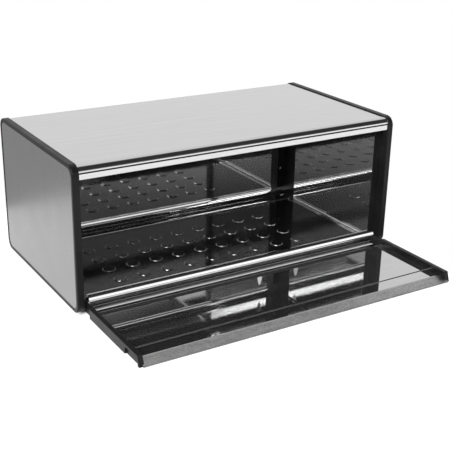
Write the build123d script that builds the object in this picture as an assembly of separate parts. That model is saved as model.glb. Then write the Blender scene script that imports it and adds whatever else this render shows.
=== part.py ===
from build123d import *
import math
import os

# Fall-front bread bin, lid shown open. Lengths in mm.
# The drawing frame below has X to the right, Y to the back with 0 at the cabinet's front
# plane, and Z up with 0 at the underside of the side frames. DATUM moves it to the part's
# own frame: the centre of the cabinet's footprint, on the surface it stands on.

# ---- driving dimensions -----------------------------------------------------
WIDTH = 465.0            # over the two side frames
DEPTH = 243.0            # cabinet, front to back
HEIGHT = 184.0           # side frame, without its feet
FOOT_STAND = 1.2         # how far the rubber feet stand below the frames
SHEET = 0.8              # steel sheet
RIM = 8.5                # side frame thickness, in X
CORNER_R = 12.6          # side frame corners

SHEET_INSET = 1.4        # the wrap sheet lies this far inside the frame outline
GROOVE = 2.0             # how deep sheets enter the grooves of the frames
LIP_Z = 166.3            # underside of the rail over the mouth
RAIL_BEND_R = 9.3        # bend from the top into the rail
RAIL_RETURN = 8.0        # flange folded back under the rail
BACK_BEND_R = 11.0
FOOT_BEND_R = 14.0       # bend from the back into the bottom flange
FLANGE_Y = 213.0         # front edge of the wrap's bottom flange

SILL_HEIGHT = 20.3       # crest of the sill over the frame's underside
SILL_BACK_Y = 14.5
SILL_FACE_Y = 3.4
SILL_SHOULDER_Z = 14.3   # where the leaning facet meets the upright face
SILL_CREST_Y = 5.5
SILL_HEM_Z = 6.0
SILL_HALF = 216.3        # half length of the sill, inside the lid's end caps
SILL_NOTCH_Y = 20.0      # the floor is full width behind this

DIMPLE_PITCH_X = 34.5
DIMPLE_PITCH_Y = 33.8
DIMPLE_COLUMNS = 9
DIMPLE_ROWS = 4
DIMPLE_MID_X = -8.0
DIMPLE_MID_Y = 118.5
DIMPLE_R = 9.2
DIMPLE_FLANK = 1.8       # width of the curved flank, seen from above
DIMPLE_RISE = 1.2

HINGE_Y = 9.5
HINGE_Z = 9.0
PIN_R = 2.0
PIN_RUNNING_GAP = 0.05
PIN_HEAD_R = 3.2
PIN_HEAD_T = 1.2
BUSH_R = 3.4
BUSH_END_X = 229.5
PIN_END_X = 229.0
BOSS_R = 7.2
BOSS_REACH = 3.4         # the hinge boss stands this far in from the frame
THRUST_LIP = 0.2         # bush stands proud of the boss

CAP_HALF = 223.2         # half width over the lid's end caps
CAP_INNER = 217.0
CAP_THICK = 12.7         # lid thickness at the caps
CAP_FRONT_TOP_Y = -137.0
CAP_FRONT_Y = -141.5
CAP_RECESS_Y = -12.0     # behind this the cap is thinned to clear the hinge boss
CAP_RECESS_X = 220.2
CATCH_POCKET_END_Y = -106.0
CATCH_POCKET_R = 4.6
CATCH_POCKET_DEPTH = 2.4
CATCH_Y = 5.0            # catch bump, where the pocket comes with the lid shut
CATCH_Z = 140.0
CATCH_RISE = 0.5
CATCH_ROOT_R = 3.0
CATCH_TIP_R = 1.8

LID_SKIN_BACK_Y = 2.0
LID_TIP_Y = -144.5
LID_BEAD_R = 0.9
LIP_TOP_Y = -128.2
LIP_TOP_Z = 5.5
PANEL_Z = 5.0            # upper face of the lid's inner panel
PANEL_BACK_Y = -10.0
PANEL_STEP_Y = -106.0
PANEL_STEP = 0.5
PANEL_CREASE = 0.5       # depth of the crease below the ledge
PANEL_FRONT_Y = -128.9

KEYHOLE_X = 187.0
KEYHOLE_Z = 153.0
KEYHOLE_R = 4.6
KEYHOLE_SLOT_R = 1.9
KEYHOLE_SLOT_UP = 10.0

PANEL_INSET = 4.6        # outer side panel inside the frame outline
PANEL_CORNER_R = 10.0
PANEL_RECESS = 0.4
LINER_FRONT_Y = 26.0
LINER_BACK_Y = 208.0
LINER_TOP_Z = 180.0
LINER_FLANGE = 9.5
LINER_BEND_R = 2.2
LINER_FLANGE_BACK_Y = 231.0
LINER_PROUD = 0.3        # liner stands this far in from the frame's inner face
RELIEF_MARGIN = 8.0      # solid frame left around the relief behind the outer panel
RELIEF_WEB = 2.5

POST_INNER = 212.0       # rear sheet holder of the frame, inner edge
POST_T = 3.0
POST_FOOT_Z = 14.0
POST_TOP_Z = 168.0
RIVET_Z = (45.0, 92.0, 140.0)
RIVET_X = 218.0
RIVET_R = 1.2
RIVET_HEAD_R = 2.6
RIVET_HEAD_T = 1.0
RIVET_TAIL_T = 0.6

STOP_Y = 13.6            # rib the shut lid rests against
STOP_W = 3.0
STOP_REACH = 2.0
STOP_FOOT_Z = 34.0
STOP_TOP_Z = 164.0

FOOT_L = 24.0
FOOT_W = 4.4
FOOT_X = 228.7
FOOT_INSET_Y = 36.0      # foot centre from the front and back of the cabinet
FOOT_POCKET = 1.2

# ---- worked out --------------------------------------------------------------
FRAME_OUT = WIDTH / 2
FRAME_IN = FRAME_OUT - RIM
SHEET_HALF = FRAME_IN + GROOVE
WRAP_FRONT_Y = SHEET_INSET
WRAP_BACK_Y = DEPTH - SHEET_INSET
WRAP_TOP_Z = HEIGHT - SHEET_INSET
FLOOR_Z = 2 * SHEET      # upper face of the floor
BOSS_FACE_X = FRAME_IN - BOSS_REACH
POST_FACE_Y = WRAP_BACK_Y - SHEET - POST_T
DATUM = Location((0, -DEPTH / 2, FOOT_STAND))
SIDES = {"left": -1, "right": 1}

os.makedirs("parts", exist_ok=True)


def save(name, shape):
    """Write one sub-part in the part's own frame."""
    shape = shape if isinstance(shape, Compound) and len(shape.solids()) > 1 else shape.solids()[0]
    export_step(DATUM * shape, f"parts/{name}.step")


def slab(x0, x1, y0, y1, z0, z1):
    """Box between two corners."""
    return Location(((x0 + x1) / 2, (y0 + y1) / 2, (z0 + z1) / 2)) * Box(
        abs(x1 - x0), abs(y1 - y0), abs(z1 - z0)
    )


def along_x(x0, x1, face):
    """Extrude a face drawn on the YZ plane from x0 to x1."""
    low, high = sorted((x0, x1))
    return Pos(low, 0, 0) * extrude(face, amount=high - low, dir=(1, 0, 0))


def rod_x(x0, x1, y, z, radius):
    """Round bar along X."""
    low, high = sorted((x0, x1))
    centre = Location(((low + high) / 2, y, z), (0, 90, 0))
    return centre * Cylinder(radius, high - low)


def rod_y(y0, y1, x, z, radius):
    """Round bar along Y."""
    centre = Location((x, (y0 + y1) / 2, z), (90, 0, 0))
    return centre * Cylinder(radius, y1 - y0)


def strip(points, radii, inward):
    """Bent sheet profile on the YZ plane: its outer line is points with bends of radii."""
    line = FilletPolyline(*[(0, y, z) for y, z in points], radius=radii)
    ribbon = offset(line, amount=SHEET, side=inward, closed=True)
    return make_face(ribbon)


def outline(y0, y1, z0, z1, radius):
    """Rounded rectangle on the YZ plane."""
    middle = Plane(origin=(0, (y0 + y1) / 2, (z0 + z1) / 2), x_dir=(0, 1, 0), z_dir=(1, 0, 0))
    return middle * RectangleRounded(y1 - y0, z1 - z0, radius)


# ---- cabinet sheet metal -----------------------------------------------------
def wrap_profile():
    """Rail, top, back and bottom flange in one bent sheet."""
    points = [
        (WRAP_FRONT_Y + RAIL_RETURN, LIP_Z),
        (WRAP_FRONT_Y, LIP_Z),
        (WRAP_FRONT_Y, WRAP_TOP_Z),
        (WRAP_BACK_Y, WRAP_TOP_Z),
        (WRAP_BACK_Y, FLOOR_Z),
        (FLANGE_Y, FLOOR_Z),
    ]
    return strip(points, [1.0, RAIL_BEND_R, BACK_BEND_R, FOOT_BEND_R], Side.RIGHT)


def keyhole():
    """Teardrop slot through the back: screw head enters low, shank slides up."""
    top_z = KEYHOLE_Z + KEYHOLE_SLOT_UP
    lean = math.asin((KEYHOLE_R - KEYHOLE_SLOT_R) / KEYHOLE_SLOT_UP)
    c, s = math.cos(lean), math.sin(lean)
    wedge = Polygon(
        (-KEYHOLE_R * c, KEYHOLE_Z + KEYHOLE_R * s),
        (KEYHOLE_R * c, KEYHOLE_Z + KEYHOLE_R * s),
        (KEYHOLE_SLOT_R * c, top_z + KEYHOLE_SLOT_R * s),
        (-KEYHOLE_SLOT_R * c, top_z + KEYHOLE_SLOT_R * s),
        align=None,
    )
    shape = wedge + Pos(0, KEYHOLE_Z) * Circle(KEYHOLE_R) + Pos(0, top_z) * Circle(KEYHOLE_SLOT_R)
    face = Plane.XZ * shape
    return Pos(0, DEPTH + 5, 0) * extrude(face, amount=10, dir=(0, -1, 0))


def wrap_sheet():
    body = along_x(-SHEET_HALF, SHEET_HALF, wrap_profile())
    corner = FRAME_IN - LINER_FLANGE - 0.3
    for side in SIDES.values():
        body -= slab(side * corner, side * WIDTH, FLANGE_Y - 1, LINER_FLANGE_BACK_Y + 0.5, 0, FLOOR_Z + 2)
        body -= Pos(side * KEYHOLE_X, 0, 0) * keyhole()
        for z in RIVET_Z:
            body -= rod_y(WRAP_BACK_Y - 2, DEPTH + 2, side * RIVET_X, z, RIVET_R)
    return body


def base_profile():
    """Floor with the sill along its front edge."""
    points = [
        (WRAP_BACK_Y - FOOT_BEND_R, FLOOR_Z),
        (SILL_BACK_Y, FLOOR_Z),
        (SILL_BACK_Y - 1.2, SILL_HEIGHT),
        (SILL_CREST_Y, SILL_HEIGHT),
        (SILL_FACE_Y, SILL_SHOULDER_Z),
        (SILL_FACE_Y, SILL_HEM_Z),
        (SILL_FACE_Y + 3.4, SILL_HEM_Z),
    ]
    return strip(points, [1.2, 3.0, 4.0, 6.0, 1.0], Side.RIGHT)


def dimple(x, y):
    """Raised airing dot pressed into the floor, with an S-shaped flank."""
    bend = (DIMPLE_FLANK**2 + DIMPLE_RISE**2) / (4 * DIMPLE_RISE)
    middle_r = DIMPLE_R - DIMPLE_FLANK / 2
    half = math.asin(DIMPLE_FLANK / (2 * bend)) / 2
    foot = (DIMPLE_R - bend * math.sin(half), bend * (1 - math.cos(half)))
    crown = (DIMPLE_R - DIMPLE_FLANK + bend * math.sin(half), DIMPLE_RISE - bend * (1 - math.cos(half)))
    with BuildSketch(Plane.XZ) as sketch:
        with BuildLine():
            Line((0, -SHEET / 2), (DIMPLE_R, -SHEET / 2))
            Line((DIMPLE_R, -SHEET / 2), (DIMPLE_R, 0))
            ThreePointArc((DIMPLE_R, 0), foot, (middle_r, DIMPLE_RISE / 2))
            ThreePointArc((middle_r, DIMPLE_RISE / 2), crown, (DIMPLE_R - DIMPLE_FLANK, DIMPLE_RISE))
            Line((DIMPLE_R - DIMPLE_FLANK, DIMPLE_RISE), (0, DIMPLE_RISE))
            Line((0, DIMPLE_RISE), (0, -SHEET / 2))
        make_face()
    return Pos(x, y, FLOOR_Z) * revolve(sketch.sketch, Axis.Z)


def base_sheet():
    profile = base_profile()
    middle = along_x(-SILL_HALF, SILL_HALF, profile)
    floor_back = WRAP_BACK_Y - FOOT_BEND_R
    wings = slab(-SHEET_HALF, SHEET_HALF, SILL_NOTCH_Y, floor_back, FLOOR_Z - SHEET, FLOOR_Z)
    body = middle + wings
    for row in range(DIMPLE_ROWS):
        for column in range(DIMPLE_COLUMNS):
            x = DIMPLE_MID_X + (column - (DIMPLE_COLUMNS - 1) / 2) * DIMPLE_PITCH_X
            y = DIMPLE_MID_Y + (row - (DIMPLE_ROWS - 1) / 2) * DIMPLE_PITCH_Y
            body += dimple(x, y)
    return body


# ---- side frames and what they carry -------------------------------------------
def foot_places():
    """Foot centres on each side, front then back."""
    return {"front": FOOT_INSET_Y, "rear": DEPTH - FOOT_INSET_Y}


def foot_shape(side, y, z0, z1):
    """Stadium-shaped pad under a side frame."""
    pad = Location((side * FOOT_X, y, z0), (0, 0, 90)) * SlotOverall(FOOT_L, FOOT_W)
    return extrude(pad, amount=z1 - z0, dir=(0, 0, 1))


def side_frame(side):
    rim = outline(0, DEPTH, 0, HEIGHT, CORNER_R)
    body = along_x(side * FRAME_IN, side * FRAME_OUT, rim)
    outer_edges = body.faces().sort_by(Axis.X)[-1 if side > 0 else 0].edges()
    body = fillet(outer_edges, 1.6)
    pocket = outline(
        PANEL_INSET, DEPTH - PANEL_INSET, PANEL_INSET, HEIGHT - PANEL_INSET, PANEL_CORNER_R
    )
    pocket_floor = FRAME_OUT - SHEET - PANEL_RECESS
    body -= along_x(side * pocket_floor, side * (FRAME_OUT + 1), pocket)
    relief = outline(
        PANEL_INSET + RELIEF_MARGIN,
        DEPTH - PANEL_INSET - RELIEF_MARGIN,
        PANEL_INSET + RELIEF_MARGIN,
        HEIGHT - PANEL_INSET - RELIEF_MARGIN,
        6,
    )
    relief -= outline(0, HINGE_Y + BOSS_R + 4, 0, HINGE_Z + BOSS_R + 4, 2)
    body -= along_x(side * (FRAME_IN + RELIEF_WEB), side * (pocket_floor + 1), relief)
    post = slab(
        side * POST_INNER, side * FRAME_IN, POST_FACE_Y, POST_FACE_Y + POST_T, POST_FOOT_Z, POST_TOP_Z
    )
    rib = slab(
        side * (FRAME_IN - STOP_REACH), side * FRAME_IN, STOP_Y, STOP_Y + STOP_W, STOP_FOOT_Z, STOP_TOP_Z
    )
    boss = rod_x(side * BOSS_FACE_X, side * FRAME_IN, HINGE_Y, HINGE_Z, BOSS_R)
    bump_centre = Location((side * (FRAME_IN - CATCH_RISE / 2), CATCH_Y, CATCH_Z), (0, -90 * side, 0))
    bump = bump_centre * Cone(CATCH_ROOT_R, CATCH_TIP_R, CATCH_RISE)
    body = body + post + rib + boss + bump
    body -= rod_x(side * (BOSS_FACE_X - 1), side * BUSH_END_X, HINGE_Y, HINGE_Z, BUSH_R)
    body -= along_x(side * (FRAME_IN - 14), side * SHEET_HALF, wrap_profile())
    floor_back = WRAP_BACK_Y - FOOT_BEND_R
    body -= slab(
        side * (FRAME_IN - 1), side * SHEET_HALF, SILL_NOTCH_Y, floor_back, FLOOR_Z - SHEET, FLOOR_Z
    )
    body -= side_liner(side)
    for z in RIVET_Z:
        body -= rod_y(POST_FACE_Y - 1, WRAP_BACK_Y, side * RIVET_X, z, RIVET_R)
    for y in foot_places().values():
        body -= foot_shape(side, y, -1, FOOT_POCKET)
    return body


def side_panel(side):
    """Steel plate that fills the outside of a frame."""
    gap = 0.15
    plate = outline(
        PANEL_INSET + gap,
        DEPTH - PANEL_INSET - gap,
        PANEL_INSET + gap,
        HEIGHT - PANEL_INSET - gap,
        PANEL_CORNER_R - gap,
    )
    face_x = FRAME_OUT - PANEL_RECESS
    body = along_x(side * (face_x - SHEET), side * face_x, plate)
    rim = body.faces().sort_by(Axis.X)[-1 if side > 0 else 0].edges()
    return fillet(rim, 0.5)


def side_liner(side):
    """Polished plate inside a frame, with a flange that lies on the floor."""
    inner = FRAME_IN - LINER_PROUD
    wall = outline(LINER_FRONT_Y, LINER_BACK_Y, FLOOR_Z, LINER_TOP_Z, 0.3)
    body = along_x(side * inner, side * (inner + SHEET), wall)
    flange = slab(
        side * (inner + SHEET - LINER_FLANGE),
        side * (inner + SHEET),
        LINER_FRONT_Y,
        LINER_FLANGE_BACK_Y,
        FLOOR_Z,
        FLOOR_Z + SHEET,
    )
    fill = LINER_BEND_R
    corner = slab(
        side * (inner - fill),
        side * (inner + 0.1),
        LINER_FRONT_Y,
        LINER_BACK_Y,
        FLOOR_Z,
        FLOOR_Z + SHEET + fill,
    )
    corner -= rod_y(
        LINER_FRONT_Y - 1, LINER_BACK_Y + 1, side * (inner - fill), FLOOR_Z + SHEET + fill, fill
    )
    return body + flange + corner


def hinge_bush(side):
    """Nylon bearing pressed into the frame's boss."""
    start = side * (BOSS_FACE_X - THRUST_LIP)
    body = rod_x(start, side * BUSH_END_X, HINGE_Y, HINGE_Z, BUSH_R)
    bore_r = PIN_R + PIN_RUNNING_GAP
    return body - rod_x(start - side, side * (BUSH_END_X + 1), HINGE_Y, HINGE_Z, bore_r)


def rivets(side):
    """Rivets that clamp the wrap sheet to a frame's rear holder."""
    group = []
    for z in RIVET_Z:
        shank = rod_y(POST_FACE_Y, WRAP_BACK_Y, side * RIVET_X, z, RIVET_R)
        head = rod_y(POST_FACE_Y - RIVET_HEAD_T, POST_FACE_Y, side * RIVET_X, z, RIVET_HEAD_R)
        head = fillet(head.edges().sort_by(Axis.Y)[0], 0.8)
        tail = rod_y(WRAP_BACK_Y, WRAP_BACK_Y + RIVET_TAIL_T, side * RIVET_X, z, RIVET_HEAD_R - 0.6)
        group.append((shank + head + tail).solids()[0])
    return Compound(group)


# ---- lid, drawn open ------------------------------------------------------------
def skin_profile():
    """Outer skin of the lid: flat sheet, rolled edge and the sloping grip lip."""
    roll_y = LID_TIP_Y + LID_BEAD_R
    rise = LIP_TOP_Z - LID_BEAD_R
    run = LIP_TOP_Y - roll_y
    slope = math.atan2(rise, run) - math.asin(LID_BEAD_R / math.hypot(rise, run))
    meet_y = LIP_TOP_Y - LIP_TOP_Z / math.tan(slope)
    return strip([(LID_SKIN_BACK_Y, 0), (meet_y, 0), (LIP_TOP_Y, LIP_TOP_Z)], [LID_BEAD_R], Side.RIGHT)


def panel_profile():
    """Inner panel of the lid, with its shallow step and turned-down back edge."""
    return strip(
        [
            (PANEL_BACK_Y, SHEET + 0.4),
            (PANEL_BACK_Y, PANEL_Z),
            (PANEL_STEP_Y, PANEL_Z),
            (PANEL_STEP_Y - 0.9, PANEL_Z - PANEL_STEP - PANEL_CREASE),
            (PANEL_STEP_Y - 1.9, PANEL_Z - PANEL_STEP),
            (PANEL_FRONT_Y, PANEL_Z - PANEL_STEP),
        ],
        [1.6, 0.2, 0.2, 0.4],
        Side.RIGHT,
    )


def lid_skin():
    reach = CAP_INNER + GROOVE
    return along_x(-reach, reach, skin_profile())


def lid_panel():
    reach = CAP_INNER + GROOVE
    return along_x(-reach, reach, panel_profile())


def cap_profile():
    """End cap seen from the side: round about the hinge, raked at the front."""
    round_y = HINGE_Y + math.sqrt(HINGE_Z**2 - (CAP_THICK - HINGE_Z) ** 2)
    with BuildSketch(Plane.YZ) as sketch:
        with BuildLine():
            Line((HINGE_Y, 0), (CAP_FRONT_Y, 0))
            Line((CAP_FRONT_Y, 0), (CAP_FRONT_TOP_Y, CAP_THICK))
            Line((CAP_FRONT_TOP_Y, CAP_THICK), (round_y, CAP_THICK))
            ThreePointArc((round_y, CAP_THICK), (HINGE_Y + HINGE_Z, HINGE_Z), (HINGE_Y, 0))
        make_face()
        front = sketch.vertices().filter_by(lambda v: v.Y < CAP_FRONT_TOP_Y + 1)
        fillet(front, 0.9)
    return sketch.sketch


def catch_pocket(side):
    """Pocket in the cap's outer face that the frame's catch bump drops into."""
    z = CATCH_POCKET_R
    y_end = CATCH_POCKET_END_Y - CATCH_POCKET_R
    nose = rod_x(side * (CAP_HALF - CATCH_POCKET_DEPTH), side * (CAP_HALF + 1), y_end, z, CATCH_POCKET_R)
    run = slab(
        side * (CAP_HALF - CATCH_POCKET_DEPTH),
        side * (CAP_HALF + 1),
        CAP_FRONT_TOP_Y - 0.5,
        y_end,
        -1,
        2 * CATCH_POCKET_R,
    )
    mouth = slab(
        side * (CAP_HALF - CATCH_POCKET_DEPTH),
        side * (CAP_HALF + 1),
        y_end,
        y_end + CATCH_POCKET_R,
        -1,
        CATCH_POCKET_R,
    )
    return nose + run + mouth


def lid_cap(side):
    body = along_x(side * CAP_INNER, side * CAP_HALF, cap_profile())
    long_edges = body.edges().filter_by(Axis.Y).group_by(Axis.Z)[-1]
    body = fillet(long_edges, 0.8)
    body -= slab(side * CAP_RECESS_X, side * (CAP_HALF + 1), CAP_RECESS_Y, 40, -1, 20)
    body -= catch_pocket(side)
    body -= rod_x(side * (CAP_INNER - 1), side * (CAP_RECESS_X + 1), HINGE_Y, HINGE_Z, PIN_R)
    reach = side * (CAP_INNER + GROOVE)
    body -= along_x(side * (CAP_INNER - 1), reach, skin_profile())
    body -= along_x(side * (CAP_INNER - 1), reach, panel_profile())
    return body


def hinge_pin(side):
    """Headed steel pin, pressed through the cap, that turns in the bush."""
    head = rod_x(side * (CAP_INNER - PIN_HEAD_T), side * CAP_INNER, HINGE_Y, HINGE_Z, PIN_HEAD_R)
    shank = rod_x(side * CAP_INNER, side * PIN_END_X, HINGE_Y, HINGE_Z, PIN_R)
    return head + shank


# ---- build -------------------------------------------------------------------
save("wrap_sheet", wrap_sheet())
save("base_sheet", base_sheet())
save("lid_skin", lid_skin())
save("lid_panel", lid_panel())
for name, side in SIDES.items():
    save(f"side_frame_{name}", side_frame(side))
    save(f"side_panel_{name}", side_panel(side))
    save(f"side_liner_{name}", side_liner(side))
    save(f"hinge_bush_{name}", hinge_bush(side))
    save(f"hinge_pin_{name}", hinge_pin(side))
    save(f"lid_cap_{name}", lid_cap(side))
    save(f"rear_rivets_{name}", rivets(side))
    for end, y in foot_places().items():
        save(f"foot_{end}_{name}", foot_shape(side, y, -FOOT_STAND, FOOT_POCKET))
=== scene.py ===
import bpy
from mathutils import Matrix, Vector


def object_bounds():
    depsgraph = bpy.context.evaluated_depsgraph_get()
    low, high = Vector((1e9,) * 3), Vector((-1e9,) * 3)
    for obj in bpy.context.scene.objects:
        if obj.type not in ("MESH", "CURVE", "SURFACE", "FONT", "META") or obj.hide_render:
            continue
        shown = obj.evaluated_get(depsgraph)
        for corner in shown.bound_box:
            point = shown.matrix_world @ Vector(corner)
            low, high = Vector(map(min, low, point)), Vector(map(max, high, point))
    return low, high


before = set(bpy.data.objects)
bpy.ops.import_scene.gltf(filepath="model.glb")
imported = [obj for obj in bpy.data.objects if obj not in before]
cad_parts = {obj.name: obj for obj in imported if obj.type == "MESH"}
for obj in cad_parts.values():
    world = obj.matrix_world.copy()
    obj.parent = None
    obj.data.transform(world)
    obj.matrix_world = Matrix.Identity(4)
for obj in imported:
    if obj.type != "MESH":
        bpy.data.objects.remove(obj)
cad_box = [list(map(float, corner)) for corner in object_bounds()]

import math

import bpy
from mathutils import Matrix, Vector

MM = 0.001

# The cabinet is centred in x and y. It faces -y, and the open lid lies in front of it.
# The tray's sill ends at SILL_BACK, and the lid's grip lip begins at LIP_START.
SIDE = cad_box[1][0]
REAR = cad_box[1][1]
FRONT = -REAR
UNDERSIDE = 1.2 * MM
MIDDLE = (0.0, 0.0, UNDERSIDE + 92 * MM)
SILL_BACK = FRONT + 15.4 * MM
LIP_START = FRONT - 127 * MM

# Noise stretches that draw lines along one axis, and the noise scales that go with them.
BRUSHED_ALONG_X = (0.02, 1.0, 1.0)
BRUSHED_UPRIGHT = (1.0, 1.0, 0.02)
ROLLED_ALONG_X = (0.25, 3.0, 3.0)
BRUSH_SCALE = 900.0
ROLL_SCALE = 260.0
SMUDGE_SCALE = 22.0
BUMP_DEPTH = 0.4 * MM

# Polished sheets. The little that isn't metallic lifts the blacks in their reflections.
POLISHED_TONE = 0.62
POLISHED_ROUGH = 0.022
ROLL_BUMP = 0.0004

# Studio. Light levels are shares of white. Heights are degrees above the horizon, and
# bearings are degrees from straight in front of the bin, counted towards its left end (-x).
FLOOR_GLOW = 0.95
BACKDROP = 0.86
STRIP_LIGHT = 1.1
STRIP_HEIGHTS = (5, 8, 15.5, 20.5)
KEY_LIGHT = 11.0
KEY_BEARINGS = (28, 32.5, 62, 70)
EDGE_SLOPE = 0.27

# Camera: place in mm from the middle of the cabinet's lower front edge, angles in radians.
CAMERA_PLACE = (-599.1, -914.7, 503.6)
CAMERA_PITCH, CAMERA_YAW, CAMERA_ROLL = 0.37804, 0.55599, 0.02055
CAMERA_LENS = 73.737


# ---- node helpers ------------------------------------------------------------
class Graph:
    """Small wrapper that builds shader nodes and links them by name."""

    def __init__(self, tree):
        self.tree = tree
        self.nodes = tree.nodes
        self.nodes.clear()

    def add(self, kind, inputs=None, **props):
        node = self.nodes.new(kind)
        for key, value in props.items():
            setattr(node, key, value)
        for key, value in (inputs or {}).items():
            self.plug(value, node.inputs[key])
        return node

    def plug(self, value, socket):
        if isinstance(value, bpy.types.NodeSocket):
            self.tree.links.new(value, socket)
        else:
            socket.default_value = value

    def math(self, op, a, b=0.0):
        return self.add("ShaderNodeMath", {0: a, 1: b}, operation=op).outputs[0]

    def product(self, first, *others):
        for other in others:
            first = self.math("MULTIPLY", first, other)
        return first

    def blend(self, a, b, share):
        """Weighted sum: share of a, and the rest of b."""
        rest = self.math("SUBTRACT", 1.0, share)
        return self.math("ADD", self.product(a, share), self.product(b, rest))

    def axes(self, vector):
        return self.add("ShaderNodeSeparateXYZ", {0: vector}).outputs

    def span(self, value, low, high, out_low=0.0, out_high=1.0, smooth=False):
        limits = {"From Min": low, "From Max": high, "To Min": out_low, "To Max": out_high}
        kind = "SMOOTHSTEP" if smooth else "LINEAR"
        node = self.add("ShaderNodeMapRange", {"Value": value, **limits}, interpolation_type=kind)
        return node.outputs[0]

    def window(self, value, start, full, fade, end):
        """0 before start, 1 from full to fade and 0 after end, with soft edges."""
        opening = self.span(value, start, full, smooth=True)
        return self.product(opening, self.span(value, fade, end, 1.0, 0.0, smooth=True))

    def mix(self, factor, a, b):
        node = self.add("ShaderNodeMix", data_type="RGBA")
        self.plug(factor, node.inputs[0])
        self.plug(a, node.inputs[6])
        self.plug(b, node.inputs[7])
        return node.outputs[2]

    def noise(self, vector, scale, detail=3.0, rough=0.55, stretch=None):
        if stretch is not None:
            vector = self.add("ShaderNodeMapping", {"Vector": vector, "Scale": stretch}).outputs[0]
        settings = {"Scale": scale, "Detail": detail, "Roughness": rough}
        return self.add("ShaderNodeTexNoise", {"Vector": vector, **settings}).outputs[0]

    def bump(self, height, strength, depth=BUMP_DEPTH):
        inputs = {"Height": height, "Strength": strength, "Distance": depth}
        return self.add("ShaderNodeBump", inputs).outputs[0]

    def principled(self, **inputs):
        """Principled shader; an input's name is written with _ for its spaces."""
        named = {key.replace("_", " "): value for key, value in inputs.items()}
        return self.add("ShaderNodeBsdfPrincipled", named).outputs[0]

    def mix_shader(self, factor, a, b):
        return self.add("ShaderNodeMixShader", {0: factor, 1: a, 2: b}).outputs[0]

    def finish(self, kind, shader):
        out = self.add(kind)
        self.tree.links.new(shader, out.inputs["Surface"])


def grey(value):
    return (value, value, value, 1.0)


def new_material(name):
    material = bpy.data.materials.new(name)
    material.use_nodes = True
    graph = Graph(material.node_tree)
    coords = graph.add("ShaderNodeTexCoord").outputs["Object"]
    return material, graph, coords


def finish_material(graph, shader):
    graph.finish("ShaderNodeOutputMaterial", shader)


# ---- steel ---------------------------------------------------------------------
def steel(graph, coords, tone, rough, scale, stretch, bump, smudge=0.1, metallic=1.0):
    """Steel shader whose tone, roughness and bump follow grain lines, with smudges in the roughness."""
    fine = graph.noise(coords, scale, detail=3.0, rough=0.6, stretch=stretch)
    coarse = graph.noise(coords, scale * 0.22, detail=2.0, rough=0.5, stretch=stretch)
    patches = graph.noise(coords, SMUDGE_SCALE, detail=4.0, rough=0.6)
    lines = graph.blend(fine, coarse, 0.65)
    uneven = graph.product(graph.math("SUBTRACT", lines, 0.5), rough * 0.5)
    smudged = graph.span(patches, 0.3, 0.7, rough * (1 - smudge), rough * (1 + smudge))
    return graph.principled(
        Base_Color=graph.mix(graph.span(lines, 0.3, 0.7), grey(0.93 * tone), grey(1.05 * tone)),
        Metallic=metallic,
        Roughness=graph.math("ADD", smudged, uneven),
        Specular_IOR_Level=0.1,
        Normal=graph.bump(lines, bump),
    )


def mirror(graph, coords, tone, rough, smudge=0.3, metallic=1.0):
    """Polished sheet with faint rolling lines."""
    return steel(graph, coords, tone, rough, ROLL_SCALE, ROLLED_ALONG_X, ROLL_BUMP, smudge, metallic)


def brushed_steel(name, stretch, tone, rough, bump=0.12):
    material, graph, coords = new_material(name)
    finish_material(graph, steel(graph, coords, tone, rough, BRUSH_SCALE, stretch, bump))
    return material


def polished_steel(name):
    material, graph, coords = new_material(name)
    shader = mirror(graph, coords, POLISHED_TONE, POLISHED_ROUGH, smudge=0.35, metallic=0.97)
    finish_material(graph, shader)
    return material


def lid_steel(name, tone=0.36, rough=0.34):
    """Lid sheet: brushed lengthwise, with cloudy patches on the narrow grip lip in front."""
    material, graph, coords = new_material(name)
    lip = graph.span(graph.axes(coords)[1], LIP_START, LIP_START - 4 * MM)
    fine = graph.noise(coords, 1500.0, detail=3.0, rough=0.6, stretch=(0.25, 1.0, 1.0))
    cloud = graph.noise(coords, 120.0, detail=5.0, rough=0.7, stretch=(0.35, 1.0, 1.0))
    level = graph.span(graph.blend(fine, cloud, 0.6), 0.36, 0.64)
    mottled = graph.principled(
        Base_Color=graph.mix(level, grey(0.55 * tone), grey(1.5 * tone)),
        Metallic=1.0,
        Roughness=graph.span(cloud, 0.3, 0.7, rough - 0.06, rough + 0.08),
        Normal=graph.bump(fine, 0.15),
    )
    brushed = steel(graph, coords, 0.5, 0.2, BRUSH_SCALE, BRUSHED_ALONG_X, bump=0.03)
    finish_material(graph, graph.mix_shader(lip, brushed, mottled))
    return material


def tray_steel(name):
    """Bread tray: bright sill; behind it the flat floor has a near-black tone, painted shade inside the
    cabinet, and the dots' flanks a lighter tone, a painted highlight.
    """
    material, graph, coords = new_material(name)
    inside = graph.span(graph.axes(coords)[1], SILL_BACK, SILL_BACK + 0.4 * MM)
    normal = graph.add("ShaderNodeNewGeometry").outputs["True Normal"]
    flat = graph.span(graph.math("ABSOLUTE", graph.axes(normal)[2]), 0.82, 0.96)
    sill = mirror(graph, coords, tone=0.74, rough=0.07)
    # The dots' flanks get a lighter, rougher tone than the flat floor: a painted highlight that the key
    # light spreads into crescents.
    flank_highlight = mirror(graph, coords, tone=0.36, rough=0.30)
    # The flat floor behind the sill gets a near-black tone: painted shade inside the cabinet.
    dark = mirror(graph, coords, tone=0.055, rough=0.08, metallic=0.85)
    dots = graph.mix_shader(flat, flank_highlight, dark)
    finish_material(graph, graph.mix_shader(inside, sill, dots))
    return material


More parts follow.
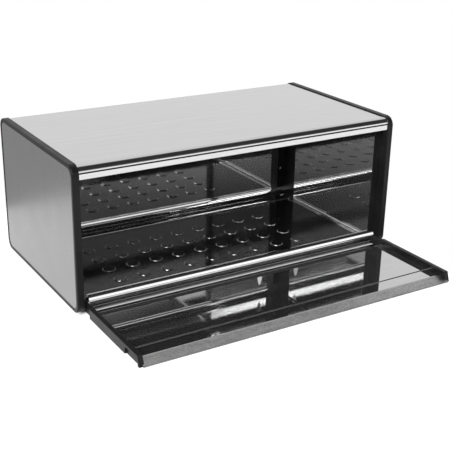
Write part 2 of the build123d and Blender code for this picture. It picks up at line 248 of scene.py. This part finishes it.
def wrap_steel(name):
    """Brushed outside, polished inside, told apart by which way the surface faces."""
    material, graph, coords = new_material(name)
    normal = graph.add("ShaderNodeNewGeometry").outputs["True Normal"]
    away = graph.add("ShaderNodeVectorMath", {0: coords, 1: MIDDLE}, operation="SUBTRACT").outputs[0]
    facing = graph.add("ShaderNodeVectorMath", {0: normal, 1: away}, operation="DOT_PRODUCT")
    outside = graph.math("GREATER_THAN", facing.outputs["Value"], 0.0)
    brushed = steel(graph, coords, 0.67, 0.13, BRUSH_SCALE, BRUSHED_ALONG_X, bump=0.02)
    back = graph.span(graph.axes(coords)[1], REAR - 12 * MM, REAR - 4 * MM)
    ceiling = mirror(graph, coords, POLISHED_TONE, POLISHED_ROUGH, smudge=0.35, metallic=0.98)
    rear_wall = mirror(graph, coords, POLISHED_TONE, rough=0.05, smudge=0.35, metallic=0.98)
    polished = graph.mix_shader(back, ceiling, rear_wall)
    finish_material(graph, graph.mix_shader(outside, polished, brushed))
    return material


# ---- plastic and rubber ----------------------------------------------------------
def plastic(name, tone=0.008, rough=0.36, scale=1800.0, bump=0.10):
    """Moulded plastic with a fine spark-eroded grain and faint rub marks."""
    material, graph, coords = new_material(name)
    fine = graph.noise(coords, scale, detail=2.0, rough=0.5)
    rub = graph.noise(coords, 30.0, detail=4.0, rough=0.65)
    shader = graph.principled(
        Base_Color=graph.mix(graph.span(rub, 0.4, 0.75), grey(tone), grey(1.9 * tone)),
        Roughness=graph.span(rub, 0.3, 0.7, rough - 0.06, rough + 0.08),
        Specular_IOR_Level=0.18,
        Normal=graph.bump(fine, bump, 0.2 * MM),
    )
    finish_material(graph, shader)
    return material


# ---- which node has which material -------------------------------------------------
def dress_nodes():
    polished = polished_steel("steel_polished")
    pin = brushed_steel("steel_pin", (0.1, 1.0, 1.0), tone=0.55, rough=0.2)
    by_prefix = {
        "wrap_sheet": wrap_steel("steel_wrap"),
        "base_sheet": tray_steel("steel_tray"),
        "lid_panel": polished,
        "lid_skin": lid_steel("steel_lid_skin"),
        "side_panel": brushed_steel("steel_side", BRUSHED_UPRIGHT, tone=0.29, rough=0.30, bump=0.02),
        "side_liner": polished,
        "side_frame": plastic("plastic_frame"),
        "lid_cap": plastic("plastic_cap"),
        "hinge_bush": plastic("nylon_bush", tone=0.02, rough=0.3, scale=900.0, bump=0.05),
        "hinge_pin": pin,
        "rear_rivets": pin,
        "foot": plastic("rubber_foot", tone=0.02, rough=0.7, scale=700.0, bump=0.3),
    }
    for node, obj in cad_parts.items():
        prefix = next(key for key in by_prefix if node.startswith(key))
        if not obj.material_slots:
            obj.data.materials.append(None)
        for slot in obj.material_slots:
            slot.material = by_prefix[prefix]


# ---- surroundings ---------------------------------------------------------------
def floor():
    """Pale glowing floor without the part to the right of the bin, and unlit under the cabinet."""
    left, right, near, far = -0.56, 1.6, -0.78, 0.27
    beside = SIDE + 8 * MM
    cut = FRONT - 124 * MM
    outline = [(left, near), (right, near), (right, cut), (beside, cut), (beside, far), (left, far)]
    corners = [Vector((x, y, 0)) for x, y in outline + [(left, cut)]]
    mesh = bpy.data.meshes.new("floor")
    mesh.from_pydata(corners, [], [(0, 1, 2, 3, 6), (6, 3, 4, 5)])
    obj = bpy.data.objects.new("floor", mesh)
    bpy.context.scene.collection.objects.link(obj)

    material, graph, coords = new_material("pale_floor")
    cloud = graph.noise(coords, 3.0, detail=2.0, rough=0.5)
    x, y, _ = graph.axes(coords)
    past_side = graph.math("SUBTRACT", graph.math("ABSOLUTE", x), SIDE)
    past_end = graph.math("SUBTRACT", graph.math("ABSOLUTE", y), REAR)
    clear = graph.span(graph.math("MAXIMUM", past_side, past_end), -12 * MM, 0.0, smooth=True)
    shader = graph.principled(
        Base_Color=graph.mix(cloud, grey(0.26), grey(0.30)),
        Roughness=0.8,
        Specular_IOR_Level=0.1,
        Emission_Color=grey(1.0),
        Emission_Strength=graph.product(clear, FLOOR_GLOW),
    )
    finish_material(graph, shader)
    mesh.materials.append(material)


def rise(degrees):
    """How far up a direction points, for a height above the horizon."""
    return math.sin(math.radians(degrees))


def studio():
    """World: bright behind the bin, dark in front but for a low strip, haze and a key light."""
    world = bpy.data.worlds.new("studio")
    world.use_nodes = True
    bpy.context.scene.world = world
    graph = Graph(world.node_tree)
    direction = graph.add("ShaderNodeTexCoord").outputs["Generated"]
    side, back, up = graph.axes(direction)
    bearing = graph.math("ARCTAN2", graph.product(side, -1.0), graph.product(back, -1.0))

    level = graph.blend(
        backdrop(graph, side, up),
        front_lights(graph, side, up, bearing),
        graph.span(back, -0.02, 0.22, smooth=True),
    )
    # The camera sees plain white; only reflections and light see the studio.
    seen = graph.add("ShaderNodeLightPath").outputs["Is Camera Ray"]
    unseen = graph.math("SUBTRACT", 1.0, seen)
    strength = graph.math("MAXIMUM", seen, graph.product(level, unseen))
    shader = graph.add("ShaderNodeBackground", {"Color": grey(1.0), "Strength": strength})
    graph.finish("ShaderNodeOutputWorld", shader.outputs[0])


def backdrop(graph, side, up):
    """Light behind the bin; below the horizon it falls off from left to right."""
    below = graph.span(side, -0.3, 0.1, 0.60, 0.06)
    return graph.blend(BACKDROP, below, graph.span(up, -0.02, 0.03, smooth=True))


def front_lights(graph, side, up, bearing):
    """Low strip, haze above the horizon and key light, in front of the bin."""
    strip = graph.product(graph.window(up, *map(rise, STRIP_HEIGHTS)), STRIP_LIGHT)

    # The haze ends in a sloped edge on the right and fades on the left.
    slope = graph.product(graph.math("ADD", bearing, math.radians(26.5)), -EDGE_SLOPE)
    right = graph.span(graph.math("ADD", up, slope), rise(26.6), rise(27.2), 0.36, 0.04)
    left = graph.span(up, rise(27), rise(36), 0.24, 0.03, smooth=True)
    haze = graph.blend(right, left, graph.span(side, -0.08, 0.08))
    haze = graph.product(haze, graph.span(up, -0.02, 0.02))

    # The key light's lower edge is tilted.
    tilt = graph.product(graph.math("SUBTRACT", bearing, math.radians(34)), EDGE_SLOPE)
    key = graph.product(
        graph.span(graph.math("ADD", up, tilt), rise(25.6), rise(26.5), smooth=True),
        graph.span(up, rise(52), rise(60), 1.0, 0.0, smooth=True),
        graph.window(bearing, *map(math.radians, KEY_BEARINGS)),
        KEY_LIGHT,
    )
    return graph.math("ADD", graph.math("ADD", strip, haze), key)


def camera():
    """Camera at the front left, a little above the bin."""
    place = Vector((0, FRONT, UNDERSIDE)) + Vector(CAMERA_PLACE) * MM
    forward = Vector((math.sin(CAMERA_YAW), math.cos(CAMERA_YAW), 0))
    ahead = math.cos(CAMERA_PITCH) * forward - math.sin(CAMERA_PITCH) * Vector((0, 0, 1))
    level = Vector((math.cos(CAMERA_YAW), -math.sin(CAMERA_YAW), 0))
    upright = level.cross(ahead)
    right = math.cos(CAMERA_ROLL) * level + math.sin(CAMERA_ROLL) * upright
    top = -math.sin(CAMERA_ROLL) * level + math.cos(CAMERA_ROLL) * upright
    data = bpy.data.cameras.new("camera")
    data.sensor_width = 36
    data.lens = CAMERA_LENS
    data.clip_start = 50 * MM
    obj = bpy.data.objects.new("camera", data)
    turn = Matrix((right, top, -ahead)).transposed().to_4x4()
    obj.matrix_world = Matrix.Translation(place) @ turn
    bpy.context.scene.collection.objects.link(obj)
    bpy.context.scene.camera = obj


dress_nodes()
floor()
studio()
camera()
bpy.context.scene.view_settings.view_transform = "Standard"
bpy.context.scene.view_settings.look = "None"
